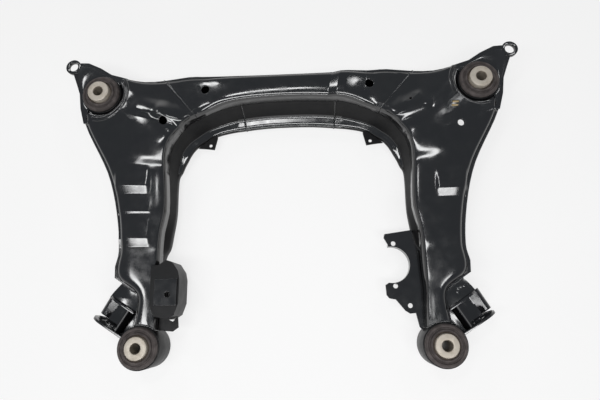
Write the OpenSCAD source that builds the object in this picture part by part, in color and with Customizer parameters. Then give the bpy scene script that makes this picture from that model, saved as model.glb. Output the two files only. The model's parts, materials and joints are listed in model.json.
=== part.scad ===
// Front subframe of a car: pressed rails and crossmember, corner consoles, bushes and brackets.
// Millimetres, +Z up, +Y to the front; the origin is under the middle of the part.

/* [Output] */
// Piece to draw, or "all"

/* [Bush positions] */
// Distance between the two front bush centres
front_span = 714; // [700:2:730]
// Distance between the two rear bush centres
rear_span = 530; // [520:2:540]
// Distance from the rear bushes forward to the front bushes
mount_pitch = 471; // [463:1:479]
// Height of the front bushes over the rear ones
front_rise = 33; // [30:1:36]

/* [Bushes] */
// Outside diameter of the inner sleeve
sleeve_d = 40; // [36:0.5:42]
// Bolt bore of the inner sleeve
sleeve_bore_d = 18; // [14:0.5:20]
// Length of the inner sleeve
sleeve_len = 84; // [80:1:90]
// Bevel on the rims of the sleeve
sleeve_bevel = 1.2; // [0.5:0.1:2]
// Outside diameter of the housing tube
housing_d = 76; // [74:0.5:78]
// Wall of the housing tube
housing_wall = 3.5; // [3:0.25:4.5]
// Foot of the rear housing tube over the floor
rear_housing_z = 8; // [5:1:12]
// Length of the rear housing tube
rear_housing_len = 62; // [58:1:64]
// Length of the front housing tube
front_housing_len = 70; // [66:1:72]
// Height of the rubber over the rim of its tube
rubber_rise = 10; // [7:0.5:11]

/* [Pressings] */
// Sheet thickness of the pressings
sheet_t = 3; // [2.5:0.1:3.5]
// Gap kept between sheets that lie on each other
seam_gap = 0.3; // [0.2:0.05:0.5]
// Flat weld flange along the outer edge
flange_w = 6; // [5:0.5:8]
// How far the lower flange stands out past the upper one
flange_step = 2; // [1:0.5:3]
// Height of the outer flange at the rear ends
rear_flange_z = 56; // [53:1:59]
// Width of the outer bend of the upper pressing
outer_bend = 6; // [5:0.5:8]
// Size of the inner bend of the upper pressing
inner_bend = 8; // [6:0.5:9]
// Depth of the inner lip below the outer flange
lip_drop = 15; // [12:1:18]
// Radius of the lower corners of the lower pressing
belly_r = 8; // [6:0.5:10]
// Height of the inner foot over the belly
foot_h = 18; // [16:1:22]
// Loft steps between two stations
loft_steps = 2; // [2:1:3]

/* [Front consoles] */
// Thickness of the console plate
console_t = 3; // [2.5:0.1:4]
// Height of the raised part of the console over its flange
console_step = 4; // [2:0.5:6]
// Radius of the pocket round the front bush
pocket_r = 46; // [44:0.5:48]
// Height of the pocket rim over the plate
pocket_rim_h = 9; // [6:0.5:11]
// Distance between the two eye centres
eye_span = 844; // [836:2:852]
// Eye centres ahead of the front bushes
eye_ahead = 64.5; // [62:0.5:67]
// Outside diameter of the eye ring
eye_d = 30; // [28:0.5:34]
// Hole of the eye ring
eye_bore_d = 18; // [14:0.5:20]
// Thickness of the eye ring
eye_t = 6; // [4:0.5:8]

/* [Control arm brackets] */
// Angle of the ears, from straight outward towards the front
arm_angle = 32; // [29:1:35]
// Clear gap between the two ears
arm_gap = 42; // [38:0.5:44]
// Ear thickness
ear_t = 4; // [3:0.25:5]
// Bolt bore through the ears
arm_bore_d = 12.5; // [10:0.5:14.5]
// Distance of the arm bolt from the rear bush centre
arm_reach = 80; // [76:1:84]
// Height of the arm bolt over the floor
arm_bolt_z = 43; // [41:1:45]
// Inside radius of the curved web under the arm
arm_web_r = 27; // [24:0.5:29]

/* [Inner brackets] */
// Plate thickness of the inner brackets
bracket_t = 4; // [3:0.25:5]
// Bolt holes of the right bracket
right_bolt_d = 8.5; // [6.5:0.5:10.5]
// Spacing of the two bolt holes of the right bracket
right_bolt_pitch = 77; // [74:0.5:80]
// Hole in the pad of the left bracket
left_bolt_d = 10.5; // [8.5:0.5:12.5]
// Underside of the top plate of the left bracket over the floor
left_plate_z = 80; // [79.5:0.5:84]
// Hole in the clip tabs
clip_hole_d = 6.5; // [5:0.5:8]

/* [Holes in the pressings] */
// Round hole in each end of the crossmember
beam_hole_d = 16; // [12:0.5:18]
// Distance between these two holes
beam_hole_span = 314; // [306:2:322]
// Upper hole in the right corner
corner_hole_d = 12; // [9:0.5:14]
// Larger hole under it in the lower pressing
lower_hole_d = 20; // [16:0.5:22]
// Round hole in the left corner
left_hole_d = 15; // [11:0.5:17]

/* [Hidden] */
$fn = 64;
paint = [0.1, 0.1, 0.11];
alloy = [0.75, 0.72, 0.67];
rubber = [0.2, 0.2, 0.2];
tall = 400;
front_x = front_span / 2;
rear_x = rear_span / 2;
housing_r = housing_d / 2;
tube_cut_r = housing_r + seam_gap;
front_sleeve_z = front_rise;
front_flange_z = rear_flange_z + front_rise;
front_housing_z = front_rise - 3;
eye_x = eye_span / 2;
eye_y = mount_pitch + eye_ahead;
y_mid = (eye_y + eye_d / 2 - housing_r) / 2;

// Rail stations from the rear bush (0) to the front bush (1), and round the corner.
// place, outer edge x y, inner edge x y, rise, five crown heights, belly, wall slope, foot
RAIL = [
    [0.06, 11, 0, -32, 0, 0.00, 8, 9, 9, 9, 8, 16, 0, 0],
    [0.14, -2, -2, -39, -2, 0.03, 8, 10, 10, 10, 8, 14, 0, 0],
    [0.205, -7, 0, -44, 1, 0.06, 9, 11, 11, 11, 9, 12, 0, 0],
    [0.262, 30, 0, -51, -2, 0.12, 10, 13, 13, 12, 10, 12, 0, 0],
    [0.345, 18, 0, -60, 0, 0.20, 12, 14, 14, 13, 11, 12, 1, 0],
    [0.378, 14, 0, -64, 0, 0.25, 13, 14, 14, 13, 12, 12, 9, 0],
    [0.44, 10, 0, -72, 0, 0.32, 13, 14, 14, 13, 12, 12, 11, 0],
    [0.52, 8, 0, -87, -2, 0.42, 13, 14, 14, 13, 12, 12, 8, 0],
    [0.60, 9, 1, -94, 1, 0.52, 13, 14, 14, 13, 12, 12, 8, 0],
    [0.68, 14, 1, -99, 0, 0.62, 13, 14, 15, 14, 13, 12, 10, 1],
    [0.76, 25, 0, -107, -25, 0.74, 12, 14, 17, 19, 16, 13, 12, 5],
    [0.84, 39, 2, -116, -47, 0.86, 11, 13, 18, 22, 19, 14, 13, 8],
    [0.92, 47, 3, -127, -72, 0.95, 10, 12, 17, 22, 19, 16, 14, 10],
    [1, 47, 7, -138, -99, 1, 10, 12, 16, 21, 18, 18, 14, 12],
    [1, 41, 35, -143, -90, 1, 10, 12, 15, 19, 16, 18, 14, 12],
    [1, 17, 49, -148, -82, 1, 10, 12, 14, 17, 14, 17, 14, 12],
    [1, -12, 44, -154, -74, 1, 10, 12, 14, 15, 12, 15, 14, 12],
    [1, -45, 35, -161, -67, 0.97, 9, 11, 13, 14, 11, 12, 14, 12],
    [1, -78, 29, -170, -58, 0.90, 8, 10, 11, 12, 10, 9, 15, 13],
    [1, -117, 31, -183, -47, 0.83, 7, 8, 8, 8, 7, 6, 15, 13]
];
// Crossmember stations from the end to the middle, places as shares of half the front span.
// outer edge x y, inner edge x y, rise, five crown heights, belly, wall slope, foot
BEAM = [
    [0.538, 38, 0.434, -36, 0.77, 6, 7, 7, 7, 6, 3, 15, 14],
    [0.465, 37.5, 0.392, -29.5, 0.76, 7, 8, 8, 8, 7, 2, 16, 15],
    [0.384, 37, 0.336, -23, 0.75, 11, 12, 12, 12, 11, 1, 16, 17],
    [0.275, 36.5, 0.258, -18, 0.75, 12, 13, 13, 13, 12, 0, 16, 18],
    [0.14, 36, 0.135, -14, 0.75, 12, 13, 13, 13, 12, 0, 16, 18],
    [0, 36, 0, -13, 0.75, 12, 13, 13, 13, 12, 0, 16, 18]
];

// Blends and curves
function mix(a, b, t) = a + (b - a) * t;
function cubic(a, b, c, d, t) =
    b + 0.5 * t * (c - a + t * (2 * a - 5 * b + 4 * c - d + t * (3 * (b - c) + d - a)));
function row_at(rows, i, t) =
    cubic(rows[max(i - 1, 0)], rows[i], rows[i + 1], rows[min(i + 2, len(rows) - 1)], t);
function tail(r, k) = [for (i = [k : len(r) - 1]) r[i]];
function flange_z(rise) = rear_flange_z + rise * front_rise;
function rail_row(r) =
    let (b = [mix(rear_x, front_x, r[0]), mount_pitch * r[0]])
    concat([b.x + r[1], b.y + r[2], b.x + r[3], b.y + r[4], flange_z(r[5])], tail(r, 6));
function beam_row(r) =
    let (o = [r[0] * front_x, mount_pitch + r[1]], i = [r[2] * front_x, mount_pitch + r[3]])
    concat(o, i, [flange_z(r[4])], tail(r, 5));
function flip(r) = concat([-r[0], r[1], -r[2], r[3]], tail(r, 4));

// One row for each section: outer point, inner point, flange height, crowns, belly, slope, foot
coarse = concat([for (r = RAIL) rail_row(r)], [for (r = BEAM) beam_row(r)], [flip(beam_row(BEAM[4]))]);
last_row = len(coarse) - 2;
rows = concat([for (i = [0 : last_row - 1], s = [0 : loft_steps - 1]) row_at(coarse, i, s / loft_steps)],
    [coarse[last_row]]);
upper_seam = (len(RAIL) - 1) * loft_steps;
lower_seam = (len(RAIL) + 3) * loft_steps;
function part_of(a, b) = [for (i = [a : b]) rows[i]];
function whole_beam(a) =
    concat(part_of(a, len(rows) - 1), [for (i = [len(rows) - 2 : -1 : a]) flip(rows[i])]);

// Section lines: distance from the outer edge, height
function span(r) = norm([r[2] - r[0], r[3] - r[1]]);
function squeeze(r) = min(1, span(r) / 70);
function crown(r, u) = let (i = min(3, floor(u * 4))) row_at([for (k = [5 : 9]) r[k]], i, u * 4 - i);
function upper_line(r) =
    let (w = span(r) - sheet_t, k = squeeze(r), f = flange_w * k, b = outer_bend * k, c = inner_bend * k)
    let (z = r[4] + seam_gap, a0 = f + b + 2, a1 = w - c - 2)
    concat([[0, z], [f, z], [f + 0.35 * b, z + 0.25 * r[5]], [f + 0.75 * b, z + 0.8 * r[5]]],
        [for (u = [0 : 5]) [mix(a0, a1, u / 5), z + crown(r, u / 5)]],
        [[w - 0.3 * c, z + r[9] - 0.3 * c], [w, z + r[9] - c], [w, r[4] - lip_drop]]);
function wall_a(r) = span(r) - sheet_t - seam_gap;
function foot_a(r) = wall_a(r) + r[11] + r[12];
function lower_line(r) =
    let (k = squeeze(r), f = flange_w * k - 1, b = belly_r, z = r[4] - sheet_t, zb = r[10], zf = zb + foot_h)
    let (wi = wall_a(r), ws = wi + r[11], wf = foot_a(r), a0 = f + 9 * k)
    [[-flange_step, z], [f, z], [f + 3 * k, z - 4], [a0, zb + b], [a0 + 0.3 * b, zb + 0.3 * b], [a0 + b, zb],
        [(a0 + wf) / 2, zb], [wf - b, zb], [wf - 0.3 * b, zb + 0.3 * b], [wf, zb + b], [wf, zf - 4],
        [ws + 0.75 * r[12], zf], [ws, zf + 2], [ws - 0.2 * r[11], zf + 6],
        [wi, max(zf + 10, r[4] - lip_drop - 3)],
        [wi, r[4] + r[9] - inner_bend * k - 2]];

// Sheet of even thickness on the left of a section line
function unit(v) = v / norm(v);
function left_of(v) = [-v.y, v.x];
function step_normal(p, i) = left_of(unit(p[i + 1] - p[i]));
function thicken(p, t) =
    let (n = len(p) - 1)
    let (e = [for (i = [0 : n]) [step_normal(p, max(i - 1, 0)), step_normal(p, min(i, n - 1))]])
    [for (i = [0 : n]) p[i] + t * (e[i][0] + e[i][1]) / (1 + e[i][0] * e[i][1])];
function sheet(p) = let (q = thicken(p, sheet_t)) concat(p, [for (i = [len(q) - 1 : -1 : 0]) q[i]]);
function inset(p, t) =
    let (n = len(p), e = [for (i = [0 : n - 1]) left_of(unit(p[(i + 1) % n] - p[i]))])
    [for (i = [0 : n - 1]) let (a = e[(i + n - 1) % n], b = e[i]) p[i] + t * (a + b) / (1 + a * b)];
function along(r, a) = let (d = unit([r[2] - r[0], r[3] - r[1]])) [r[0] + d.x * a, r[1] + d.y * a];
function in_space(r, loop) = [for (q = loop) let (p = along(r, q.x)) [p.x, p.y, q.y]];

// Loft through loops that each hold one sheet section
module loft(loops) {
    n = len(loops[0]);
    m = len(loops) - 1;
    sides = [for (i = [0 : m - 1], j = [0 : n - 1])
        let (a = i * n + j, b = i * n + (j + 1) % n) each [[a, b, b + n], [a, b + n, a + n]]];
    caps = [for (j = [0 : n / 2 - 2], e = [0, m * n])
        let (q = [e + j, e + n - 1 - j, e + n - 2 - j, e + j + 1])
        e == 0 ? q : [q[3], q[2], q[1], q[0]]];
    polyhedron(points = [for (s = loops) each s], faces = concat(sides, caps));
}
module upper_sheet(part) loft([for (r = part) in_space(r, sheet(upper_line(r)))]);
module lower_sheet(part) loft([for (r = part) in_space(r, sheet(lower_line(r)))]);

// Placing
module seat() translate([0, -y_mid, 0]) children();
module on_side(s) seat() mirror([s < 0 ? 1 : 0, 0, 0]) children();
module at_front() translate([front_x, mount_pitch, 0]) children();
module at_rear() translate([rear_x, 0, 0]) children();
module post(r) translate([0, 0, -tall / 2]) cylinder(r = r, h = tall);
module drill(p, d) translate(p) post(d / 2);

// Room for the console in the upper pressing; its strip runs back along the outer edge
eye_at = [eye_x - front_x, eye_ahead];
console_tail = 55;
console_tip = eye_at + [eye_d, eye_d];
module console_room() at_front() {
    post(pocket_r + seam_gap);
    translate([0, 0, -tall / 2]) linear_extrude(tall) polygon([[-pocket_r, 35], [-pocket_r, console_tip.y],
        console_tip, [console_tip.x, -console_tail - 1], [23, -console_tail - 1], [26, -36], [0, 0]]);
}

// Holes of the corners, from the front bush centre
corner_hole = [-41, -84];
lower_hole = corner_hole + [24, 33];
small_hole = [-128, -35];
small_hole_d = 5;
left_hole = [-126, -61];
slits = [[-48, -45], [-50, -52]];
slit_len = 9;
slit_w = 4.5;
module slit(p) translate(p) {
    cube([slit_len, slit_w, tall], center = true);
    for (k = [-1, 1]) drill([k * slit_len / 2, 0], slit_w);
}

// Pressings
module rail_upper(s) color(paint) on_side(s) difference() {
    upper_sheet(part_of(0, upper_seam));
    console_room();
    at_rear() post(tube_cut_r);
    at_front() {
        if (s > 0) drill(corner_hole, corner_hole_d);
        if (s > 0) drill(small_hole, small_hole_d);
        if (s > 0) for (p = slits) slit(p);
        if (s < 0) drill(left_hole, left_hole_d);
    }
}
// The tube stands in an open corner of the lower channel, under the flange
module tube_room() at_front() {
    post(tube_cut_r);
    translate([0, 0, -1]) linear_extrude(front_flange_z - sheet_t)
        polygon([[0, 0], [70, -33], [90, 60], [-40, 69]]);
}
module rail_lower(s) color(paint) on_side(s) difference() {
    lower_sheet(part_of(0, lower_seam));
    tube_room();
    at_rear() post(tube_cut_r);
    if (s > 0) at_front() drill(lower_hole, lower_hole_d);
}
beam_hole_ahead = 6;
module beam_hole() drill([beam_hole_span / 2, mount_pitch + beam_hole_ahead], beam_hole_d);
module crossmember_upper() color(paint) seat() difference() {
    upper_sheet(whole_beam(upper_seam));
    beam_hole();
    mirror([1, 0, 0]) beam_hole();
}
module crossmember_lower() color(paint) seat() lower_sheet(whole_beam(lower_seam));

// Front console: plate, pocket rim, edge strip and eye ring, all from the front bush centre
console_z = front_flange_z + seam_gap;
CONSOLE = [[0.5 - pocket_r, 35.5], [-12, 46], [10, 60.5], eye_at + [-29, 8.5], eye_at + [-13, 9.5],
    eye_at + [1, -12.5], [56, 27], [48.5, 7], [44, -24], [35, -console_tail], [25, -console_tail],
    [28, -36], [0, 0]];
// Raised part of the console, and the hollow under it
PLATEAU = [[-40, 26], [-12, 38], [12, 51], eye_at - [29, 2.5], eye_at - [16, 0.5], eye_at - [10, 13.5],
    [47, 28], [40, 8], [36, -24], [28, 7 - console_tail], [26, -30], [0, 0]];
module front_console(s) color(paint) on_side(s) at_front() difference() {
    translate([0, 0, console_z]) difference() {
        union() {
            linear_extrude(console_t) polygon(CONSOLE);
            cylinder(r = pocket_r - console_t / 2, h = console_t);
            linear_extrude(console_t + console_step) polygon(PLATEAU);
            translate(eye_at) cylinder(d = eye_d, h = eye_t);
            rotate([0, 0, 145]) rotate_extrude(angle = 155)
                translate([pocket_r - console_t, 0]) square([console_t, console_t + pocket_rim_h]);
        }
        translate([0, 0, -1]) linear_extrude(console_step + 1) polygon(inset(PLATEAU, -console_t));
    }
    post(tube_cut_r);
    translate(eye_at) post(eye_bore_d / 2);
}

// Bushes
module ring(r0, r1, z0, h) rotate_extrude() translate([r0, z0]) square([r1 - r0, h]);
module housing(z0, h) color(paint) ring(housing_r - housing_wall, housing_r, z0, h);
module sleeve(z0) color(alloy) rotate_extrude() translate([sleeve_bore_d / 2, z0])
    let (w = (sleeve_d - sleeve_bore_d) / 2, c = sleeve_bevel)
    polygon([[0, c], [c, 0], [w - c, 0], [w, c], [w, sleeve_len - c], [w - c, sleeve_len], [c, sleeve_len],
        [0, sleeve_len - c]]);
module bush_rubber(z0, len) color(rubber) rotate_extrude()
    let (a = sleeve_d / 2, b = housing_r - housing_wall, h = rubber_rise, z1 = z0 + len)
    polygon([[a, z0 + 3], [b, z0 + 3], [b, z1], [b + 1.5, z1 + seam_gap], [b + 1.5, z1 + 0.35 * h],
        [b - 1, z1 + 0.7 * h], [b - 4, z1 + 0.75 * h], [b - 5, z1 + 0.5 * h], [b - 7, z1 + 0.5 * h],
        [b - 8, z1 + 0.85 * h], [a + 4, z1 + h], [a + 2, z1 + 0.6 * h], [a, z1 + 0.6 * h]]);
module front_housing(s) on_side(s) at_front() housing(front_housing_z, front_housing_len);
module rear_housing(s) on_side(s) at_rear() housing(rear_housing_z, rear_housing_len);
module front_rubber(s) on_side(s) at_front() bush_rubber(front_housing_z, front_housing_len);
module rear_rubber(s) on_side(s) at_rear() bush_rubber(rear_housing_z, rear_housing_len);
module front_sleeve(s) on_side(s) at_front() sleeve(front_sleeve_z);
module rear_sleeve(s) on_side(s) at_rear() sleeve(0);

// Plan of the rear rail, cut out of the brackets that stand beside it
rear_part = part_of(0, 7 * loft_steps);
module rail_plan() translate([0, 0, -tall / 2]) linear_extrude(tall) polygon(concat(
    [for (r = rear_part) along(r, -flange_step - seam_gap)],
    [for (i = [len(rear_part) - 1 : -1 : 0]) along(rear_part[i], span(rear_part[i]))]));
module inner_side(gap) translate([0, 0, -tall / 2]) linear_extrude(tall) polygon(concat(
    [for (r = rear_part) along(r, gap > 0 ? span(r) + gap : wall_a(r) + r[11] + seam_gap)],
    [[rear_x + tall, mount_pitch], [rear_x + tall, 0]]));

// Control arm bracket: bolt along the second axis of a frame turned by arm_angle at the rear bush
ear_r = 24;
ear_foot = 30;
ear_low = 18;
ear_high = 68;
web_low = arm_bolt_z - arm_web_r - ear_t;
web_lip = 16;
rear_reach = arm_reach + 5;
front_reach = arm_reach - 1;
arm_floor_z = 30;
wing_z = 50;
WING = [[-36, 0], [22, 0], [21, 12], [17, 34], [-28, 44]];
module ear(reach, n) translate([0, n + ear_t, 0]) rotate([90, 0, 0]) linear_extrude(ear_t) {
    translate([reach, arm_bolt_z]) circle(ear_r);
    polygon([[ear_foot, ear_low], [reach - 20, web_low], [reach + 18, web_low],
        [reach + ear_r, arm_bolt_z - 8], [reach, arm_bolt_z + ear_r], [ear_foot, ear_high]]);
}
module arm_web() translate([arm_reach, arm_gap, arm_bolt_z]) rotate([90, 0, 0]) linear_extrude(arm_gap) {
    difference() {
        circle(arm_web_r + ear_t);
        circle(arm_web_r);
        polygon([[0, 0], [-60, 42], [-60, 90], [90, 90], [90, -90], [0, -90]]);
    }
    translate([-1, -arm_web_r - ear_t]) square([web_lip + 1, ear_t]);
}
module arm_bracket(s) color(paint) on_side(s) difference() {
    at_rear() rotate([0, 0, arm_angle]) difference() {
        union() {
            ear(rear_reach, -ear_t);
            ear(front_reach, arm_gap);
            arm_web();
            translate([ear_foot, 0, arm_floor_z]) cube([arm_reach - arm_web_r - ear_foot, arm_gap, ear_t]);
            translate([arm_reach, arm_gap, wing_z]) linear_extrude(ear_t) polygon(WING);
        }
        translate([arm_reach, -tall / 2, arm_bolt_z]) rotate([-90, 0, 0]) cylinder(d = arm_bore_d, h = tall);
    }
    rail_plan();
    at_rear() post(tube_cut_r);
}

// Left inner box bracket, drawn on the right from the rear bush centre and mirrored
LEFT_BOX = [[-20, 142], [-33, 143], [-46, 152], [-58, 148], [-69, 132], [-72, 118], [-72, 76], [-65, 56],
    [-52, 48], [-29, 54], [-22, 68], [-20, 100]];
box_low = 32;
pad_mid = [-49, 95];
pad_size = [40, 46];
pad_hole = pad_mid - [4, 4];
lower_tab_z = 44;
module left_mount_bracket() color(paint) on_side(-1) {
    at_rear() translate([0, 0, left_plate_z]) linear_extrude(bracket_t) difference() {
        polygon(LEFT_BOX);
        translate(pad_hole) circle(d = left_bolt_d);
    }
    difference() {
        at_rear() translate([0, 0, box_low]) linear_extrude(left_plate_z - box_low) difference() {
            polygon(LEFT_BOX);
            polygon(inset(LEFT_BOX, bracket_t));
        }
        inner_side(seam_gap);
    }
}
module left_mount_pad() color(paint) on_side(-1) at_rear() translate([0, 0, left_plate_z + bracket_t])
    linear_extrude(bracket_t) difference() {
        translate(pad_mid) square(pad_size, center = true);
        translate(pad_hole) circle(d = left_bolt_d);
    }
module left_lower_tab() color(paint) on_side(-1) difference() {
    at_rear() translate([0, 0, lower_tab_z]) linear_extrude(bracket_t) difference() {
        polygon([[-61, 54], [-63, 34], [-53, 27], [-40, 28], [-21, 30], [-21, 60], [-52, 44]]);
        circle(tube_cut_r);
        polygon(LEFT_BOX);
    }
    inner_side(seam_gap);
}

// Right inner bracket: plate with two arms and a third lug, flanged round the gap
right_plate_z = rear_flange_z - lip_drop - 0.5;
right_rim_h = 16;
rim_t = [0, bracket_t];
right_bolts = [-74, 140.5];
gap_mid = [-79, 140.5];
gap_r = 33;
lug_hole = [-50, 67];
RIGHT_PLATE = [[-15, 207], [-89, 197], [-91, 190], [-84, 177], [-79, 140], [-79, 112], [-92, 104], [-91, 86],
    [-86, 80], [-75, 78], [-59, 58], [-51, 53], [-41, 54], [-36, 30], [-29, 22], [-15, 22]];
module right_mount_bracket() color(paint) on_side(1) difference() {
    at_rear() difference() {
        union() {
            translate([0, 0, right_plate_z - bracket_t]) linear_extrude(bracket_t) polygon(RIGHT_PLATE);
            translate([0, 0, right_plate_z - right_rim_h]) linear_extrude(right_rim_h) intersection() {
                polygon(RIGHT_PLATE);
                translate(gap_mid) circle(gap_r + bracket_t);
            }
            translate([0, 0, right_plate_z - right_rim_h]) linear_extrude(right_rim_h)
                polygon([RIGHT_PLATE[0], RIGHT_PLATE[1], RIGHT_PLATE[1] - rim_t, RIGHT_PLATE[0] - rim_t]);
        }
        translate(gap_mid) post(gap_r);
        for (k = [-0.5, 0.5]) drill(right_bolts + [0, k * right_bolt_pitch], right_bolt_d);
        drill(lug_hole, right_bolt_d);
        post(tube_cut_r);
    }
    inner_side(0);
}

// Clip tabs at the inner corners, from the front bush centre
clip_z = 20;
clip_hole = [-197, -83];
CLIP = [[-205, -92], [-191, -90], [-171, -88], [-161, -79], [-177, -51], [-207, -47], [-211, -67]];
corner_part = part_of(upper_seam - 4 * loft_steps, upper_seam + 2 * loft_steps);
module clip_tab(s) color(paint) on_side(s) difference() {
    at_front() translate([0, 0, clip_z]) linear_extrude(sheet_t) difference() {
        polygon(CLIP);
        translate(clip_hole) circle(d = clip_hole_d);
    }
    translate([0, 0, -tall / 2]) linear_extrude(tall) polygon(concat(
        [for (r = corner_part) along(r, foot_a(r) + seam_gap)],
        [for (i = [len(corner_part) - 1 : -1 : 0]) along(corner_part[i], span(corner_part[i]) / 2)]));
}

crossmember_upper();
crossmember_lower();
rail_upper(-1);  // left_rail_upper
rail_upper(1);  // right_rail_upper
rail_lower(-1);  // left_rail_lower
rail_lower(1);  // right_rail_lower
front_console(-1);  // left_front_console
front_console(1);  // right_front_console
front_housing(-1);  // left_front_housing
front_housing(1);  // right_front_housing
rear_housing(-1);  // left_rear_housing
rear_housing(1);  // right_rear_housing
front_rubber(-1);  // left_front_rubber
front_rubber(1);  // right_front_rubber
rear_rubber(-1);  // left_rear_rubber
rear_rubber(1);  // right_rear_rubber
front_sleeve(-1);  // left_front_sleeve
front_sleeve(1);  // right_front_sleeve
rear_sleeve(-1);  // left_rear_sleeve
rear_sleeve(1);  // right_rear_sleeve
arm_bracket(-1);  // left_arm_bracket
arm_bracket(1);  // right_arm_bracket
left_mount_bracket();
left_mount_pad();
left_lower_tab();
right_mount_bracket();
clip_tab(-1);  // left_clip_tab
clip_tab(1);  // right_clip_tab
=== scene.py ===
"""Front subframe of a car: smooth painted pressings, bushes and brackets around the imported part."""
import json
import math

import bpy
from mathutils import Matrix, Vector
from mathutils.bvhtree import BVHTree

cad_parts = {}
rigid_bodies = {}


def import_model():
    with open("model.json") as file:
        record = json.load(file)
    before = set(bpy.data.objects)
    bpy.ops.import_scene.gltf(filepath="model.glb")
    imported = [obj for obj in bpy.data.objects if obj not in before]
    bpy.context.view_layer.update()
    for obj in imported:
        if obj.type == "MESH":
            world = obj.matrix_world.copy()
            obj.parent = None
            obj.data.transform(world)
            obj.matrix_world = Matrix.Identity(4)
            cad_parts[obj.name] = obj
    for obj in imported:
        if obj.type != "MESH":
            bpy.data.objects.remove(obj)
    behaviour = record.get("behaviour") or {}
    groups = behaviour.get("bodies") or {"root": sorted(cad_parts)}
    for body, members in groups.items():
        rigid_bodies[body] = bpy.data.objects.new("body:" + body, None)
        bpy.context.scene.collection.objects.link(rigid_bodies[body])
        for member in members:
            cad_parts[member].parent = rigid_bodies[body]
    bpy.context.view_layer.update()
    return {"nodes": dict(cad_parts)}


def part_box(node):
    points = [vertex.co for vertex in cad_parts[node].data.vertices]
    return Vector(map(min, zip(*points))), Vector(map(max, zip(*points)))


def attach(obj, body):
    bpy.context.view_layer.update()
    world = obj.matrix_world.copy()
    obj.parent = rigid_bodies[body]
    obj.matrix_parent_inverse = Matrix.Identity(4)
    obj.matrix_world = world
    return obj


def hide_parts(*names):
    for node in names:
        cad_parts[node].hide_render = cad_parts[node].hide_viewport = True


bl_info = {
    "name": "Front subframe",
    "version": (1, 0, 0),
    "blender": (4, 5, 0),
    "location": "View3D > Sidebar > Subframe",
    "description": "Dresses the packed subframe in gloss paint, rubber and bare alloy",
    "category": "Add Mesh",
}

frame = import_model()
NODES = frame["nodes"]
MM = 0.001
SIDES = {"left": -1, "right": 1}
PRESSINGS = ("crossmember_upper", "crossmember_lower", "left_rail_upper", "right_rail_upper",
             "left_rail_lower", "right_rail_lower")
CONSOLES = ("left_front_console", "right_front_console")
ARMS = ("left_arm_bracket", "right_arm_bracket")
PLATES = ("left_mount_bracket", "left_mount_pad", "left_lower_tab", "right_mount_bracket", "left_clip_tab",
          "right_clip_tab")
SATIN_PLATES = ("left_mount_bracket", "left_lower_tab", "left_clip_tab", "right_clip_tab")
TUBES = ("left_front_housing", "right_front_housing", "left_rear_housing", "right_rear_housing")
RUBBERS = ("left_front_rubber", "right_front_rubber", "left_rear_rubber", "right_rear_rubber")
SLEEVES = ("left_front_sleeve", "right_front_sleeve", "left_rear_sleeve", "right_rear_sleeve")

# Plan places and lengths in millimetres, angles in degrees
FRONT_BUSH = (357.0, 214.75)
REAR_BUSH = (265.0, -256.25)
STAIN_RADIUS = 22.8
# Sleeve bore walls inside this radius get a darker colour as painted shade
BORE_RADIUS = 9.6
FLAT_NORMAL_Z = 0.98

# Plates and turned pieces: which edges are broken, how the faces between them are shaded
BREAK_ANGLE = 40
PLATE_SMOOTH = 35
ADDED_SMOOTH = 40
ADDED_EDGE = 0.6
TUBE_EDGE, RUBBER_EDGE, SLEEVE_EDGE = 0.9, 0.6, 0.4

# Pressings; the crossmember's channel keeps a flat ledge at its foot
LEDGED = "crossmember_lower"
CREASE_ANGLE, LEDGE_CREASE = 58, 28
SMOOTH_ANGLE, LEDGE_SMOOTH = 50, 25
LEDGE_NORMAL_Z = 0.6
UNDER_NORMAL_Z = -0.3
LID_SHARE = 0.65
SCORE_HALF = 0.8
SCORE_BESIDE, SCORE_PAST = 6, 4
HARD_FADE, SOFT_FADE = 8, 24
# Pressed forms of the lids: plan line with the high side on its left, height, rise, flat, fall
FORMS = {
    "left_rail_upper": (
        ([(-322, 139), (-276, 97), (-253, 89), (-228, 73)], -2.6, 40, 10, 60),
        ([(-284, 172), (-262, 166), (-246, 163)], 5.6, 14, 4, 30),
        ([(-232, 158), (-214, 153), (-195, 148)], 5.3, 15, 4, 34),
        ([(-318, 27), (-262, 25)], 3.6, 15, 4, 36),
        ([(-316, -16), (-256, -17)], 0.7, 3.5, 3, 30),
        ([(-314, -71), (-258, -72)], 2.25, 15, 4, 36)),
    "right_rail_upper": (
        ([(230, 74), (273, 102), (306, 119)], -1.2, 40, 10, 60),
        ([(200, 142), (227, 150), (252, 158)], 5.6, 15, 4, 38),
        ([(272, 6), (319, 7)], 3.9, 15, 4, 36)),
    "crossmember_upper": (
        ([(98, 262), (82, 180)], 5.9, 16, 14, 37),),
}

# Lips of the control-arm webs, laid along the bracket and turned with it
ARM_ANGLE = 32.0
ARM_GAP = 42.0
LIP_START = 93.0
LIP_LONG = 25.0
LIP_Z = 16.4
LIP_MID_Y = 72.0
LIP_TILT = 0.13
LIP_CURL_LONG = 7.0
LIP_CURL = 0.09
LIP_SHEET = 3.0
LIP_CELLS = 14

# Seams of the right side, mirrored for the left
REAR_SEAM = (39.4, 60, 150)
POCKET_SEAM = (47.6, 152, 292)
STRIP_SEAM = ((381, 157.5), (393, 157.5))
ARM_SEAM = ((282, -160), (318, -136))
LID_SEAM = ((240, 245), (207, 207), (175, 169))
CHANNEL_SEAM_FROM = (75.4, 47.6)
CHANNEL_SEAM_AIM = (6.1, 54.5)
CHANNEL_SEAM_HEIGHTS = range(6, 66, 2)
RIM_RADIUS = 53
RIM_SIZE = 3.2
RIM_SINK = 0.4
ARC_STEPS = 24
RIM_TURNS = {"left": (145, 290), "right": (145, 215)}
# Seams of one side only
WING_DOTS = ((309, -157), (299, -160), (297, -166), (297, -174))
BOX_SEAM = ((-246.6, -114), (-246.6, -156), (-244.6, -188))
# Pitch and height of the drops, as shares of their radius
BEAD = (0.8, 0.65)
DRESSED = (0.5, 0.2)
DOTS = (2.0, 0.3)
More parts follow.
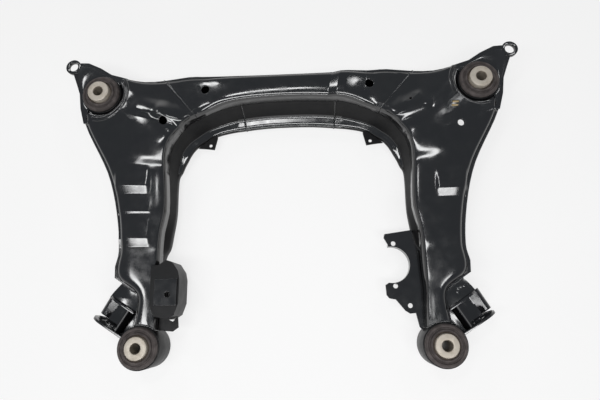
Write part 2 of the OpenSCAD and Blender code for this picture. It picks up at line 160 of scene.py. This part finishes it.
# Size of the beads, as a share of the weld size
CHANNEL_BEAD = 0.7
WING_DOT = 1.4
# Height in metres from which places are found on the part
ABOVE = 0.2

# Nut under the left mount pad, and clip in the right corner
PAD_HOLE = (-212.0, -165.25)
BRACKET_SHEET = 4.0
NUT_ACROSS = 20.0
NUT_TALL = 9.0
NUT_BORE_RADIUS = 5.0
NUT_BORE_DEEP = 0.8 * NUT_TALL
CLIP_BARS = ((309, 169.75), (307, 162.75))
CLIP_SIZE = (11, 3.4, 1.6)
CLIP_SINK = 0.6
CLIP_EDGE = 3.2
CLIP_ROUND = 0.5

# Lamps: place, width and height in metres, radiance
LAMPS = {
    "top_lamp": ((-0.085, -0.55, 1.6), (2.07, 0.24), 10.5),
    "ledge_lamp": ((-0.235, 0.35, 1.6), (0.55, 0.12), 13),
    "front_left_lamp": ((-1.0, 1.24, 1.6), (0.3, 0.3), 11),
    "front_right_lamp": ((1.0, 0.97, 1.6), (0.24, 0.24), 11),
    "rear_lamp": ((0.0, -1.5, 0.75), (0.9, 0.16), 11),
}
LAMP_AIM = Vector((0, 0, 0.05))
FLOOR_SIZE = 9
FLOOR_WHITE = 0.75
CEILING = (0.23, 0.25, 0.275, 1)

# Camera fitted to the bushes in the photograph
CAMERA_AT = Vector((70.6, -206.05, 924.4)) * MM
CAMERA_TURNS = (("Y", 3.27), ("X", 13.71), ("Z", -0.72))
LENS_PX = 478.4
IMAGE_PX = 600


class SubframeShape(bpy.types.PropertyGroup):
    """Sizes that a user may change"""
    edge_round: bpy.props.FloatProperty(
        name="Edge rounding", description="Rounding of the sheared plate edges",
        default=0.7 * MM, min=0.1 * MM, max=1.4 * MM, unit="LENGTH", precision=5)
    smoothing: bpy.props.IntProperty(
        name="Smoothing", description="Subdivision levels of the pressed sheets", default=2, min=1, max=3)
    weld_size: bpy.props.FloatProperty(
        name="Weld size", description="Radius of the weld beads",
        default=2.2 * MM, min=1 * MM, max=4 * MM, unit="LENGTH", precision=5)


class SubframeFinish(bpy.types.PropertyGroup):
    """Colours and gloss that a user may change"""
    paint: bpy.props.FloatVectorProperty(
        name="Paint", description="Colour of the dip paint", subtype="COLOR", size=4,
        default=(0.0050, 0.0050, 0.0056, 1.0), min=0, max=1)
    dust: bpy.props.FloatVectorProperty(
        name="Dust", description="Colour of the thin dust on the paint", subtype="COLOR", size=4,
        default=(0.0095, 0.0093, 0.0092, 1.0), min=0, max=1)
    rubber: bpy.props.FloatVectorProperty(
        name="Rubber", description="Colour of the bush rubber", subtype="COLOR", size=4,
        default=(0.068, 0.059, 0.057, 1.0), min=0, max=1)
    alloy: bpy.props.FloatVectorProperty(
        name="Alloy", description="Colour of the bare sleeves", subtype="COLOR", size=4,
        default=(0.56, 0.51, 0.44, 1.0), min=0, max=1)
    gloss: bpy.props.FloatProperty(
        name="Gloss roughness", description="Roughness of the paint on the lids, consoles and most brackets",
        default=0.12, min=0.05, max=0.8, subtype="FACTOR")
    satin: bpy.props.FloatProperty(
        name="Satin roughness", description="Roughness of the paint on the channels, tubes and small tabs",
        default=0.4, min=0.05, max=0.8, subtype="FACTOR")


def shape():
    return bpy.context.scene.subframe_shape


def finish():
    return bpy.context.scene.subframe_finish


# Materials

def new_material(name):
    """A new material, its node tree and its surface shader; only the material if it is there already."""
    mat = bpy.data.materials.get(name)
    if mat:
        return mat, None, None
    mat = bpy.data.materials.new(name)
    mat.use_nodes = True
    tree = mat.node_tree
    return mat, tree, tree.nodes["Principled BSDF"]


def speckle(tree, scale, detail=3.0, stretch=(1, 1, 1)):
    """Noise on the object's own coordinates, metres."""
    place = tree.nodes.new("ShaderNodeTexCoord")
    turn = tree.nodes.new("ShaderNodeMapping")
    turn.inputs["Scale"].default_value = stretch
    noise = tree.nodes.new("ShaderNodeTexNoise")
    noise.inputs["Scale"].default_value = scale
    noise.inputs["Detail"].default_value = detail
    tree.links.new(place.outputs["Object"], turn.inputs["Vector"])
    tree.links.new(turn.outputs["Vector"], noise.inputs["Vector"])
    return noise.outputs["Fac"]


def ramp(tree, source, low, high, start=0.35, end=0.7):
    """Blend between two colours by a noise value."""
    node = tree.nodes.new("ShaderNodeValToRGB")
    node.color_ramp.elements[0].position = start
    node.color_ramp.elements[0].color = low
    node.color_ramp.elements[1].position = end
    node.color_ramp.elements[1].color = high
    tree.links.new(source, node.inputs["Fac"])
    return node.outputs["Color"]


def spread(tree, source, low, high):
    """Map a noise value to a range."""
    node = tree.nodes.new("ShaderNodeMapRange")
    node.inputs["From Min"].default_value = 0.3
    node.inputs["From Max"].default_value = 0.7
    node.inputs["To Min"].default_value = low
    node.inputs["To Max"].default_value = high
    tree.links.new(source, node.inputs["Value"])
    return node.outputs["Result"]


def bump(tree, source, strength, depth):
    """Surface grain from a noise value."""
    node = tree.nodes.new("ShaderNodeBump")
    node.inputs["Strength"].default_value = strength
    node.inputs["Distance"].default_value = depth
    tree.links.new(source, node.inputs["Height"])
    return node.outputs["Normal"]


def dip_paint(name, roughness, level):
    """Black dip paint with fine orange peel and a little dust."""
    mat, tree, surface = new_material(name)
    if tree:
        look = finish()
        tree.links.new(ramp(tree, speckle(tree, 26, 4), look.paint, look.dust, 0.45, 0.8),
                       surface.inputs["Base Color"])
        tree.links.new(spread(tree, speckle(tree, 60, 3), roughness - 0.03, roughness + 0.07),
                       surface.inputs["Roughness"])
        tree.links.new(bump(tree, speckle(tree, 420, 2), 0.05, 0.1 * MM), surface.inputs["Normal"])
        surface.inputs["Specular IOR Level"].default_value = level
    return mat


def gloss_paint():
    """Paint of the lids, consoles and most brackets."""
    return dip_paint("gloss_paint", finish().gloss, 1.0)


def satin_paint():
    """Duller paint of the channels, tubes and small tabs."""
    return dip_paint("satin_paint", finish().satin, 0.22)


def bush_rubber():
    """Matt black rubber with a little dust."""
    mat, tree, surface = new_material("matt_rubber")
    if tree:
        look = finish()
        pale = [1.9 * c for c in look.rubber[:3]] + [1.0]
        tree.links.new(ramp(tree, speckle(tree, 90, 5), look.rubber, pale, 0.4, 0.75),
                       surface.inputs["Base Color"])
        tree.links.new(bump(tree, speckle(tree, 900, 4), 0.25, 0.2 * MM), surface.inputs["Normal"])
        surface.inputs["Roughness"].default_value = 0.62
        surface.inputs["Specular IOR Level"].default_value = 0.15
    return mat


def stained_rubber():
    """Brown edge of the rubber where it is bonded to the sleeve."""
    mat, tree, surface = new_material("stained_rubber")
    if tree:
        tree.links.new(ramp(tree, speckle(tree, 160, 4), (0.05, 0.036, 0.022, 1), (0.11, 0.085, 0.06, 1)),
                       surface.inputs["Base Color"])
        tree.links.new(bump(tree, speckle(tree, 900, 4), 0.3, 0.2 * MM), surface.inputs["Normal"])
        surface.inputs["Roughness"].default_value = 0.7
    return mat


def painted_bore_shade():
    """Dark grey-brown on the wall of the sleeve bores: painted shade for the inside of the bore."""
    mat, tree, surface = new_material("painted_bore_shade")
    if tree:
        tree.links.new(ramp(tree, speckle(tree, 120, 4), (0.16, 0.135, 0.105, 1), (0.24, 0.21, 0.17, 1)),
                       surface.inputs["Base Color"])
        tree.links.new(spread(tree, speckle(tree, 300, 3), 0.55, 0.75), surface.inputs["Roughness"])
    return mat


def yellow_zinc():
    """Yellow zinc plating of the clip in the right corner."""
    mat, tree, surface = new_material("yellow_zinc")
    if tree:
        tree.links.new(ramp(tree, speckle(tree, 200, 3), (0.42, 0.29, 0.13, 1), (0.62, 0.5, 0.3, 1)),
                       surface.inputs["Base Color"])
        tree.links.new(spread(tree, speckle(tree, 500, 3), 0.3, 0.5), surface.inputs["Roughness"])
        surface.inputs["Metallic"].default_value = 0.6
    return mat


def bare_alloy():
    """Bare turned alloy with a warm, slightly stained face."""
    mat, tree, surface = new_material("bare_alloy")
    if tree:
        look = finish()
        stain = [0.8 * look.alloy[0], 0.77 * look.alloy[1], 0.72 * look.alloy[2], 1.0]
        tree.links.new(ramp(tree, speckle(tree, 70, 6), look.alloy, stain, 0.42, 0.75),
                       surface.inputs["Base Color"])
        tree.links.new(spread(tree, speckle(tree, 240, 4), 0.45, 0.62), surface.inputs["Roughness"])
        tree.links.new(bump(tree, speckle(tree, 1300, 4), 0.3, 0.15 * MM), surface.inputs["Normal"])
        surface.inputs["Metallic"].default_value = 0.35
    return mat


def whiten(tree, lit, white, share):
    """Blend a lit shader with plain white, only as the camera and mirrors see it."""
    path = tree.nodes.new("ShaderNodeLightPath")
    seen = path.outputs["Is Camera Ray"]
    for kind in ("Is Glossy Ray", "Is Transmission Ray"):
        either = tree.nodes.new("ShaderNodeMath")
        either.operation = "MAXIMUM"
        tree.links.new(seen, either.inputs[0])
        tree.links.new(path.outputs[kind], either.inputs[1])
        seen = either.outputs["Value"]
    amount = tree.nodes.new("ShaderNodeMath")
    amount.operation = "MULTIPLY"
    amount.inputs[1].default_value = share
    tree.links.new(seen, amount.inputs[0])
    blend = tree.nodes.new("ShaderNodeMixShader")
    tree.links.new(amount.outputs["Value"], blend.inputs["Fac"])
    tree.links.new(lit, blend.inputs[1])
    tree.links.new(white.outputs[0], blend.inputs[2])
    return blend.outputs["Shader"]


def pale_floor():
    """White studio floor that keeps a faint shadow."""
    mat, tree, surface = new_material("pale_floor")
    if tree:
        tree.links.new(ramp(tree, speckle(tree, 3, 2), (0.95, 0.95, 0.95, 1), (0.975, 0.975, 0.975, 1)),
                       surface.inputs["Base Color"])
        surface.inputs["Roughness"].default_value = 0.9
        surface.inputs["Specular IOR Level"].default_value = 0.1
        white = tree.nodes.new("ShaderNodeEmission")
        tree.links.new(whiten(tree, surface.outputs["BSDF"], white, FLOOR_WHITE),
                       tree.nodes["Material Output"].inputs["Surface"])
    return mat


def studio():
    """White surroundings under a dim ceiling, that shine only softly on the part."""
    world = bpy.data.worlds.new("studio")
    world.use_nodes = True
    tree = world.node_tree
    soft = tree.nodes["Background"]
    soft.inputs["Color"].default_value = (0.96, 0.98, 1.0, 1.0)
    soft.inputs["Strength"].default_value = 0.09
    white = tree.nodes.new("ShaderNodeBackground")
    place = tree.nodes.new("ShaderNodeTexCoord")
    parts = tree.nodes.new("ShaderNodeSeparateXYZ")
    tree.links.new(place.outputs["Generated"], parts.inputs["Vector"])
    tree.links.new(ramp(tree, parts.outputs["Z"], (1, 1, 1, 1), CEILING, 0.12, 0.42), white.inputs["Color"])
    tree.links.new(whiten(tree, soft.outputs["Background"], white, 1.0),
                   tree.nodes["World Output"].inputs["Surface"])
    return world


# Modelling helpers

def only(obj):
    """Make one object the active and only selected one."""
    bpy.ops.object.select_all(action="DESELECT")
    obj.select_set(True)
    bpy.context.view_layer.objects.active = obj


def merged_copy(node, name):
    """A copy of a CAD node with its loose triangles merged, selected in edit mode."""
    obj = bpy.data.objects.new(name, NODES[node].data.copy())
    bpy.context.scene.collection.objects.link(obj)
    only(obj)
    bpy.ops.object.mode_set(mode="EDIT")
    bpy.ops.mesh.select_all(action="SELECT")
    bpy.ops.mesh.remove_doubles(threshold=0.02 * MM)
    return obj


def apply(obj, kind, **settings):
    """Add a modifier with its settings and apply it."""
    only(obj)
    mod = obj.modifiers.new(kind.lower(), kind)
    for key, value in settings.items():
        setattr(mod, key, value)
    bpy.ops.object.modifier_apply(modifier=mod.name)


def dress(obj, node, mat, angle):
    """Shade a finished piece, paint it and let it stand for its CAD node."""
    only(obj)
    bpy.ops.object.shade_smooth_by_angle(angle=math.radians(angle))
    obj.data.materials.clear()
    obj.data.materials.append(mat)
    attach(obj, "root")
    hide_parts(node)


def pressed_sheet(node):
    """The lofted sheet of a CAD node, smoothed between its stations."""
    obj = merged_copy(node, node + "_sheet")
    bpy.ops.mesh.select_mode(type="FACE")
    bpy.ops.mesh.tris_convert_to_quads(face_threshold=math.radians(40), shape_threshold=math.radians(80))
    bpy.ops.mesh.select_all(action="DESELECT")
    crease = LEDGE_CREASE if node == LEDGED else CREASE_ANGLE
    bpy.ops.mesh.edges_select_sharp(sharpness=math.radians(crease))
    bpy.ops.transform.edge_crease(value=1.0)
    bpy.ops.object.mode_set(mode="OBJECT")
    levels = shape().smoothing + (1 if node.endswith("upper") else 0)
    apply(obj, "SUBSURF", levels=levels, render_levels=levels)
    return obj


def sheared_plate(node, name, width):
    """A flat plate or bracket of a CAD node with its edges broken."""
    obj = merged_copy(node, name)
    bpy.ops.mesh.dissolve_limited(angle_limit=math.radians(1))
    bpy.ops.object.mode_set(mode="OBJECT")
    apply(obj, "BEVEL", width=width, segments=2, limit_method="ANGLE", angle_limit=math.radians(BREAK_ANGLE),
          use_clamp_overlap=True, miter_outer="MITER_ARC")
    return obj


def break_edges(obj):
    """Break the edges of a piece that the solids don't have."""
    apply(obj, "BEVEL", width=ADDED_EDGE * MM, segments=2, limit_method="ANGLE",
          angle_limit=math.radians(BREAK_ANGLE))


def ease(t):
    """Smooth step from 0 to 1."""
    t = max(0.0, min(1.0, t))
    return t * t * (3 - 2 * t)


def beside(spot, ends):
    """How far a plan point lies to the left of a line, and how far past its ends."""
    best = None
    for a, b in zip(ends, ends[1:]):
        run = b - a
        t = (spot - a).dot(run) / run.length_squared
        gap = (spot - a - max(0.0, min(1.0, t)) * run).length
        if best is None or gap < best[0]:
            past = -t if t < 0 and a is ends[0] else t - 1 if t > 1 and b is ends[-1] else 0
            best = (gap, run.cross(spot - a) / run.length, past * run.length)
    return best[1:]


def score(obj, line, rise):
    """Cut a lid along the foot and the top of a straight form, so that its edges come out clean."""
    a, b = (Vector(p) for p in line)
    run = (b - a).normalized()
    side = Vector((-run.y, run.x))
    for off in [end + half for end in (-rise / 2, rise / 2) for half in (-SCORE_HALF, SCORE_HALF)]:
        only(obj)
        for face in obj.data.polygons:
            spot = face.center.xy / MM - a
            near = abs(spot.dot(side)) < rise + SCORE_BESIDE
            face.select = near and -SCORE_PAST < spot.dot(run) < (b - a).length + SCORE_PAST
        bpy.ops.object.mode_set(mode="EDIT")
        cut = (a + off * side) * MM
        bpy.ops.mesh.bisect(plane_co=(cut.x, cut.y, 0), plane_no=(side.x, side.y, 0))
        bpy.ops.object.mode_set(mode="OBJECT")


def press(obj, line, height, rise, flat, fall):
    """Press a form into a lid: left of a plan line the sheet rises, runs flat and falls again.

    A straight line gives sharp edges, a bent one soft edges.
    """
    ends = [Vector(p) for p in line]
    for vert in obj.data.vertices:
        left, past = beside(vert.co.xy / MM, ends)
        up = max(0.0, min(1.0, left / rise + 0.5))
        down = max(0.0, min(1.0, 1 - (left - rise / 2 - flat) / fall))
        fade = HARD_FADE
        if len(line) > 2:
            up, down, fade = ease(up), ease(down), SOFT_FADE
        vert.co.z += MM * height * up * down * ease(1 - past / fade)
    obj.data.update()


def thin_under(obj, share):
    """Keep only a share of a lid's faces, taken from the hidden underside."""
    under = obj.vertex_groups.new(name="under")
    under.add([vert.index for vert in obj.data.vertices if vert.normal.z < UNDER_NORMAL_Z], 1.0, "REPLACE")
    apply(obj, "DECIMATE", decimate_type="COLLAPSE", ratio=share, vertex_group="under")
    obj.vertex_groups.clear()


def mirrored(line, side):
    """A plan line of the right side, on the side that is asked for."""
    return [(side * x, y) for x, y in line]


def arc(centre, radius, start, end, side):
    """Plan points of an arc about a bush; angles count from straight outward, towards the front."""
    turns = [math.radians(start + (end - start) * k / ARC_STEPS) for k in range(ARC_STEPS + 1)]
    return [(side * (centre[0] + radius * math.cos(t)), centre[1] + radius * math.sin(t)) for t in turns]


def ground(host):
    """A piece's faces, for laying things on it."""
    spots = [vert.co for vert in host.data.vertices]
    return BVHTree.FromPolygons(spots, [tuple(face.vertices) for face in host.data.polygons])


def laid(line, hosts, step):
    """Points of a plan line, dropped on the pieces below it."""
    grounds = [ground(host) for host in hosts]
    ends = [Vector(p) * MM for p in line]
    spots = []
    for a, b in zip(ends, ends[1:]):
        count = max(1, round((b - a).length / step))
        for k in range(count):
            at = a.lerp(b, k / count)
            hits = [tree.ray_cast(Vector((at.x, at.y, ABOVE)), Vector((0, 0, -1)))[0] for tree in grounds]
            spots += sorted((hit for hit in hits if hit), key=lambda hit: -hit.z)[:1]
    return spots


def up_wall(start, toward, heights, host):
    """Points up the inner wall of a channel, found from a place in the bay."""
    tree = ground(host)
    line = Vector((*toward, 0)).normalized()
    hits = [tree.ray_cast(Vector((*start, z)) * MM, line)[0] for z in heights]
    return [hit for hit in hits if hit]


def weld(name, spots, size, pitch, tall):
    """A bead of drops along a row of points; their distance and height are shares of their radius."""
    if len(spots) < 3:
        raise RuntimeError("no ground under " + name)
    path = bpy.data.objects.new(name + "_path", bpy.data.curves.new(name, "CURVE"))
    path.data.dimensions = "3D"
    spline = path.data.splines.new("POLY")
    spline.points.add(len(spots) - 1)
    for point, spot in zip(spline.points, spots):
        point.co = (*spot, 1)
    bpy.context.scene.collection.objects.link(path)
    bpy.ops.object.select_all(action="DESELECT")
    bpy.ops.mesh.primitive_uv_sphere_add(segments=8, ring_count=5, radius=size)
    bead = bpy.context.object
    bead.name = name
    bpy.ops.object.mode_set(mode="EDIT")
    bpy.ops.transform.resize(value=(0.9, 1.0, tall))
    bpy.ops.object.mode_set(mode="OBJECT")
    apply(bead, "ARRAY", fit_type="FIT_CURVE", curve=path, use_relative_offset=False, use_constant_offset=True,
          constant_offset_displace=(pitch * size, 0, 0))
    apply(bead, "CURVE", object=path, deform_axis="POS_X")
    bpy.data.objects.remove(path)
    settle(bead, gloss_paint())


def rim(name, spots, radius):
    """A smooth pressed bead along a row of points, partly sunk in the sheet."""
    path = bpy.data.objects.new(name, bpy.data.curves.new(name, "CURVE"))
    path.data.dimensions = "3D"
    path.data.bevel_depth = radius
    path.data.bevel_resolution = 3
    path.data.use_fill_caps = True
    spline = path.data.splines.new("POLY")
    spline.points.add(len(spots) - 1)
    for point, spot in zip(spline.points, spots):
        point.co = (spot.x, spot.y, spot.z - RIM_SINK * radius, 1)
    bpy.context.scene.collection.objects.link(path)
    only(path)
    bpy.ops.object.convert(target="MESH")
    settle(bpy.context.object, gloss_paint())


def settle(obj, mat):
    """Finish a piece that the solids don't have."""
    only(obj)
    bpy.ops.object.transform_apply(location=True, rotation=True, scale=True)
    bpy.ops.object.shade_smooth_by_angle(angle=math.radians(ADDED_SMOOTH))
    obj.data.materials.append(mat)
    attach(obj, "root")


def tint_inside(obj, node, radius, mat):
    """Give the faces near the axis of a bush piece a second colour: a brown stain on the rubbers, painted
    shade in the sleeve bores.
    """
    low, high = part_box(node)
    axis = (Vector(low) + Vector(high)) / 2
    obj.data.materials.append(mat)
    for face in obj.data.polygons:
        if (face.center.xy - axis.xy).length < radius * MM and abs(face.normal.z) < FLAT_NORMAL_Z:
            face.material_index = 1


def gloss_ledges(obj):
    """Give the upward faces of a channel, where the paint pools, the gloss of the lids."""
    obj.data.materials.append(gloss_paint())
    for face in obj.data.polygons:
        if face.normal.z > LEDGE_NORMAL_Z:
            face.material_index = 1


# Operators

class SUBFRAME_OT_pressings(bpy.types.Operator):
    """Smooth the pressed lids and channels of the legs and the crossmember"""
    bl_idname = "subframe.pressings"
    bl_label = "Pressings"

    def execute(self, context):
        for node in PRESSINGS:
            obj = pressed_sheet(node)
            for form in FORMS.get(node, ()):
                if len(form[0]) == 2:
                    score(obj, form[0], form[2])
                press(obj, *form)
            lid = node.endswith("upper")
            if lid:
                thin_under(obj, LID_SHARE)
            angle = LEDGE_SMOOTH if node == LEDGED else SMOOTH_ANGLE
            dress(obj, node, gloss_paint() if lid else satin_paint(), angle)
            if not lid:
                gloss_ledges(obj)
        return {"FINISHED"}


class SUBFRAME_OT_plates(bpy.types.Operator):
    """Break the edges of the consoles and brackets"""
    bl_idname = "subframe.plates"
    bl_label = "Consoles and brackets"

    def execute(self, context):
        for node in CONSOLES + ARMS + PLATES:
            obj = sheared_plate(node, node + "_plate", shape().edge_round)
            mat = satin_paint() if node in SATIN_PLATES else gloss_paint()
            dress(obj, node, mat, PLATE_SMOOTH)
            if node in PLATES:
                apply(obj, "WEIGHTED_NORMAL", keep_sharp=True)
        return {"FINISHED"}


class SUBFRAME_OT_bushes(bpy.types.Operator):
    """Finish the tubes, rubbers and sleeves of the bushes"""
    bl_idname = "subframe.bushes"
    bl_label = "Bushes"

    def execute(self, context):
        for nodes, mat, slot, edge in ((TUBES, satin_paint(), "paint", TUBE_EDGE),
                                       (RUBBERS, bush_rubber(), "bush_rubber", RUBBER_EDGE),
                                       (SLEEVES, bare_alloy(), "sleeve_alloy", SLEEVE_EDGE)):
            for node in nodes:
                obj = sheared_plate(node, node + "_turned", edge * MM)
                dress(obj, node, mat, PLATE_SMOOTH)
                if nodes is RUBBERS:
                    tint_inside(obj, node, STAIN_RADIUS, stained_rubber())
                if nodes is SLEEVES:
                    # The bore walls of the sleeves get a darker colour: painted shade
                    tint_inside(obj, node, BORE_RADIUS, painted_bore_shade())
        return {"FINISHED"}


class SUBFRAME_OT_welds(bpy.types.Operator):
    """Lay the weld beads on the seams, and the rims of the front pockets"""
    bl_idname = "subframe.welds"
    bl_label = "Weld beads"

    def execute(self, context):
        size = shape().weld_size
        made = bpy.data.objects
        beam = made["crossmember_upper_sheet"]
        for name, side in SIDES.items():
            lid = made[name + "_rail_upper_sheet"]
            arm = made[name + "_arm_bracket_plate"]
            seams = {
                "_rear_tube_weld": laid(arc(REAR_BUSH, *REAR_SEAM, side), [lid], size),
                "_pocket_weld": laid(arc(FRONT_BUSH, *POCKET_SEAM, side), [lid], size),
                "_strip_weld": laid(mirrored(STRIP_SEAM, side), [lid], size),
                "_arm_weld": laid(mirrored(ARM_SEAM, side), [arm], size),
                "_lid_weld": laid(mirrored(LID_SEAM, side), [lid, beam], size),
                "_channel_weld": up_wall(*mirrored((CHANNEL_SEAM_FROM, CHANNEL_SEAM_AIM), side),
                                         CHANNEL_SEAM_HEIGHTS, made["crossmember_lower_sheet"]),
            }
            for seam, spots in seams.items():
                weld(name + seam, spots, size * (CHANNEL_BEAD if seam == "_channel_weld" else 1),
                     *(DRESSED if seam == "_lid_weld" else BEAD))
            spots = laid(arc(FRONT_BUSH, RIM_RADIUS, *RIM_TURNS[name], side), [lid], 2 * size)
            rim(name + "_pocket_rim", spots, RIM_SIZE * MM)
        weld("right_wing_weld", laid(WING_DOTS, [made["right_arm_bracket_plate"]], size), WING_DOT * size,
             *DOTS)
        weld("left_box_weld", laid(BOX_SEAM, [made["left_rail_upper_sheet"]], size), size, *BEAD)
        return {"FINISHED"}


class SUBFRAME_OT_lips(bpy.types.Operator):
    """Add the flared lip of the web under each control arm"""
    bl_idname = "subframe.lips"
    bl_label = "Arm bracket lips"

    def execute(self, context):
        for name, side in SIDES.items():
            bpy.ops.object.select_all(action="DESELECT")
            bpy.ops.mesh.primitive_grid_add(x_subdivisions=LIP_CELLS, y_subdivisions=LIP_CELLS, size=1)
            lip = context.object
            lip.name = name + "_arm_lip"
            bpy.ops.object.mode_set(mode="EDIT")
            bpy.ops.transform.resize(value=(LIP_LONG * MM, ARM_GAP * MM, 1))
            bpy.ops.transform.translate(
                value=((LIP_START + LIP_LONG / 2) * MM, ARM_GAP / 2 * MM, LIP_Z * MM))
            bpy.ops.object.mode_set(mode="OBJECT")
            turn = Matrix.Rotation(math.radians(ARM_ANGLE), 4, "Z")
            for vert in lip.data.vertices:
                out = max(0.0, vert.co.x / MM - LIP_START - LIP_LONG + LIP_CURL_LONG)
                at = turn @ vert.co
                lift = LIP_TILT * (at.y - LIP_MID_Y * MM) - LIP_CURL * out * out * MM
                vert.co = (side * (at.x + REAR_BUSH[0] * MM), at.y + REAR_BUSH[1] * MM, at.z + lift)
            only(lip)
            bpy.ops.object.mode_set(mode="EDIT")
            bpy.ops.mesh.select_all(action="SELECT")
            bpy.ops.mesh.normals_make_consistent(inside=False)
            bpy.ops.object.mode_set(mode="OBJECT")
            if lip.data.polygons[0].normal.z < 0:
                lip.data.flip_normals()
            apply(lip, "SOLIDIFY", thickness=LIP_SHEET * MM, offset=-1)
            break_edges(lip)
            settle(lip, gloss_paint())
        return {"FINISHED"}


class SUBFRAME_OT_nut(bpy.types.Operator):
    """Weld the closed nut under the hole of the left mount pad"""
    bl_idname = "subframe.nut"
    bl_label = "Pad nut"

    def execute(self, context):
        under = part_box("left_mount_pad")[0][2] - BRACKET_SHEET * MM
        bpy.ops.object.select_all(action="DESELECT")
        place = (PAD_HOLE[0] * MM, PAD_HOLE[1] * MM, under - NUT_TALL / 2 * MM)
        bpy.ops.mesh.primitive_cylinder_add(vertices=6, radius=NUT_ACROSS / 2 * MM, depth=NUT_TALL * MM,
                                            location=place)
        nut = context.object
        nut.name = "left_pad_nut"
        for face in nut.data.polygons:
            face.select = face.normal.z > FLAT_NORMAL_Z
        bpy.ops.object.mode_set(mode="EDIT")
        bpy.ops.mesh.select_mode(type="FACE")
        bpy.ops.mesh.inset(thickness=(NUT_ACROSS / 2 - NUT_BORE_RADIUS) * MM)
        bpy.ops.mesh.extrude_region_move(TRANSFORM_OT_translate={"value": (0, 0, -NUT_BORE_DEEP * MM)})
        bpy.ops.object.mode_set(mode="OBJECT")
        break_edges(nut)
        settle(nut, satin_paint())
        return {"FINISHED"}


class SUBFRAME_OT_clip(bpy.types.Operator):
    """Put the plated clip in the slits of the right corner"""
    bl_idname = "subframe.clip"
    bl_label = "Corner clip"

    def execute(self, context):
        lid = ground(bpy.data.objects["right_rail_upper_sheet"])
        for k, (x, y) in enumerate(CLIP_BARS):
            edge = lid.ray_cast(Vector((x * MM, (y + CLIP_EDGE) * MM, ABOVE)), Vector((0, 0, -1)))[0]
            if edge is None:
                raise RuntimeError("no lid beside the slits of the clip")
            bpy.ops.object.select_all(action="DESELECT")
            bpy.ops.mesh.primitive_cube_add(size=1, location=(x * MM, y * MM, edge.z - CLIP_SINK * MM),
                                            scale=[side * MM for side in CLIP_SIZE])
            bar = context.object
            bar.name = "right_corner_clip_%d" % (k + 1)
            bpy.ops.object.transform_apply(location=True, rotation=True, scale=True)
            apply(bar, "BEVEL", width=CLIP_ROUND * MM, segments=2)
            settle(bar, yellow_zinc())
        return {"FINISHED"}


class SUBFRAME_OT_stage(bpy.types.Operator):
    """Set the floor, the lamps and the camera of the studio"""
    bl_idname = "subframe.stage"
    bl_label = "Stage"

    def execute(self, context):
        scene = context.scene
        bpy.ops.object.select_all(action="DESELECT")
        bpy.ops.mesh.primitive_plane_add(size=FLOOR_SIZE, location=(0, 0, 0))
        floor = context.object
        floor.name = "floor"
        floor.data.materials.append(pale_floor())
        for name, settings in LAMPS.items():
            lamp(name, *settings)
        scene.world = studio()
        scene.view_settings.view_transform = "Standard"
        place_camera(scene)
        return {"FINISHED"}


def lamp(name, place, size, radiance):
    """Soft box aimed at the part, of an even radiance."""
    place = Vector(place)
    turn = (LAMP_AIM - place).to_track_quat("-Z", "Y").to_euler()
    bpy.ops.object.light_add(type="AREA", location=place, rotation=turn)
    obj = bpy.context.object
    obj.name = name
    obj.data.shape = "RECTANGLE"
    obj.data.size, obj.data.size_y = size
    obj.data.energy = radiance * math.pi * size[0] * size[1]


def place_camera(scene):
    """Set the camera that was fitted to the photograph."""
    turn = Matrix.Identity(3)
    for axis, degrees in CAMERA_TURNS:
        turn = turn @ Matrix.Rotation(math.radians(degrees), 3, axis)
    bpy.ops.object.camera_add(location=CAMERA_AT, rotation=turn.to_euler())
    camera = bpy.context.object
    camera.name = "photo_camera"
    camera.data.sensor_width = 36
    camera.data.lens = LENS_PX / IMAGE_PX * camera.data.sensor_width
    scene.camera = camera


class SUBFRAME_PT_panel(bpy.types.Panel):
    """Steps and settings of the subframe"""
    bl_idname = "SUBFRAME_PT_panel"
    bl_label = "Subframe"
    bl_space_type = "VIEW_3D"
    bl_region_type = "UI"
    bl_category = "Subframe"

    def draw(self, context):
        for group in (shape(), finish()):
            for key in group.__annotations__:
                self.layout.prop(group, key)
        for step in STEPS:
            self.layout.operator(step.bl_idname)


STEPS = (SUBFRAME_OT_pressings, SUBFRAME_OT_plates, SUBFRAME_OT_bushes, SUBFRAME_OT_lips, SUBFRAME_OT_welds,
         SUBFRAME_OT_nut, SUBFRAME_OT_clip, SUBFRAME_OT_stage)
CLASSES = (SubframeShape, SubframeFinish, *STEPS, SUBFRAME_PT_panel)


def register():
    for cls in CLASSES:
        bpy.utils.register_class(cls)
    bpy.types.Scene.subframe_shape = bpy.props.PointerProperty(type=SubframeShape)
    bpy.types.Scene.subframe_finish = bpy.props.PointerProperty(type=SubframeFinish)


def unregister():
    del bpy.types.Scene.subframe_finish
    del bpy.types.Scene.subframe_shape
    for cls in reversed(CLASSES):
        bpy.utils.unregister_class(cls)


def main():
    register()
    bpy.ops.subframe.pressings()
    bpy.ops.subframe.plates()
    bpy.ops.subframe.bushes()
    bpy.ops.subframe.lips()
    bpy.ops.subframe.welds()
    bpy.ops.subframe.nut()
    bpy.ops.subframe.clip()
    bpy.ops.subframe.stage()


if __name__ == "__main__":
    main()
